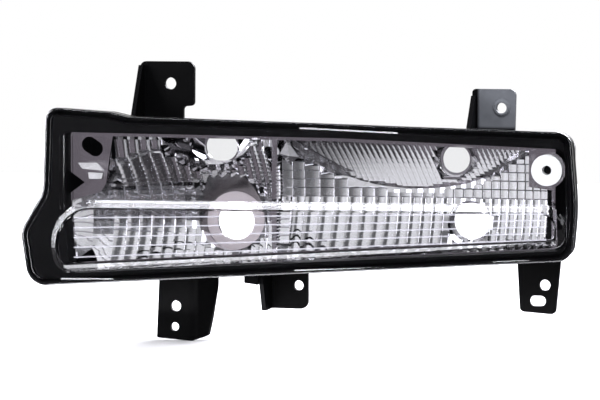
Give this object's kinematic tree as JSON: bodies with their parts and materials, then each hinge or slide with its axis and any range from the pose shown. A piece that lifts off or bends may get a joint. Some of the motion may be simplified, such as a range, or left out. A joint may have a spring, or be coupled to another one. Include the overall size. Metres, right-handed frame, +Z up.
{
  "type": "daytime running light",
  "caption": "Long car lamp with a clear ribbed lens, a fluted bright reflector with bulb ports, and a black housing with fixing tabs.",
  "frame": {"origin": "centre of the fixing hole in the upper left tab, on the tab's front face", "axes": "+X to the right along the lamp seen from the front, +Y from the lens back to the bulb ports, +Z up"},
  "size_m": [0.299, 0.0597, 0.1504],
  "materials": {
    "black_plastic": "satin black moulded plastic",
    "clear_plastic": "clear polished plastic",
    "sealant": "dull black sealant",
    "bright_metallised": "bright metallised plastic, mirror-like",
    "white_plastic": "plain white moulded plastic",
    "screw_steel": "zinc-plated",
    "black_rubber": "dull black rubber"
  },
  "bodies": {
    "root": {"housing": "black_plastic", "lens": "clear_plastic", "lens_seal": "sealant", "reflector": "bright_metallised", "reflector_bush": "white_plastic", "reflector_screws": "screw_steel", "vent_cap": "black_rubber"}
  },
  "joints": []
}
